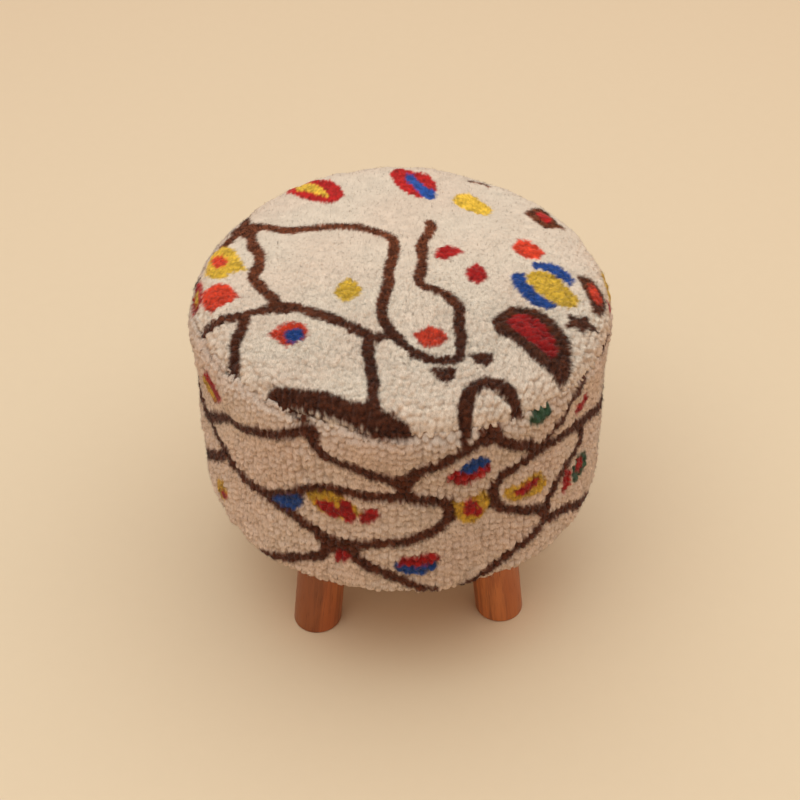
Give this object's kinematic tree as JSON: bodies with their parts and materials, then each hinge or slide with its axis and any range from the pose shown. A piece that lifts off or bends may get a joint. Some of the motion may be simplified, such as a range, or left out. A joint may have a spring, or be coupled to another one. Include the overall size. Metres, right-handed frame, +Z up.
{
  "type": "upholstered stool",
  "caption": "Low round stool with a crowned knotted wool rug cover sewn at the shoulder, over a foam-topped wooden drum on splayed round peg legs.",
  "frame": {"origin": "on the floor under the middle of the seat", "axes": "+Z up along the drum's axis, front towards -Y, legs on the diagonals"},
  "size_m": [0.4078, 0.4078, 0.3743],
  "materials": {
    "rug_wool": "matte",
    "foam": "matte",
    "wadding": "matte",
    "plywood": "matte",
    "fibreboard": "matte",
    "dust_cloth": "matte",
    "leg_wood": "satin",
    "softwood": "matte",
    "screw_steel": "satin",
    "staple_wire": "satin"
  },
  "bodies": {
    "root": {"rug_top_panel": "rug_wool", "rug_side_band": "rug_wool", "seat_foam": "foam", "side_wadding": "wadding", "top_board": "plywood", "base_board": "plywood", "drum_skin": "fibreboard", "dust_cover": "dust_cloth", "leg_front_left": "leg_wood", "leg_front_right": "leg_wood", "leg_rear_left": "leg_wood", "leg_rear_right": "leg_wood", "leg_block_1": "softwood", "leg_block_2": "softwood", "leg_block_3": "softwood", "leg_block_4": "softwood", "post_1": "softwood", "post_2": "softwood", "post_3": "softwood", "post_4": "softwood", "post_5": "softwood", "post_6": "softwood", "post_7": "softwood", "post_8": "softwood", "leg_screws": "screw_steel", "post_screws_top": "screw_steel", "post_screws_bottom": "screw_steel", "skin_staples": "staple_wire", "band_staples": "staple_wire", "dust_staples": "staple_wire"}
  },
  "joints": []
}
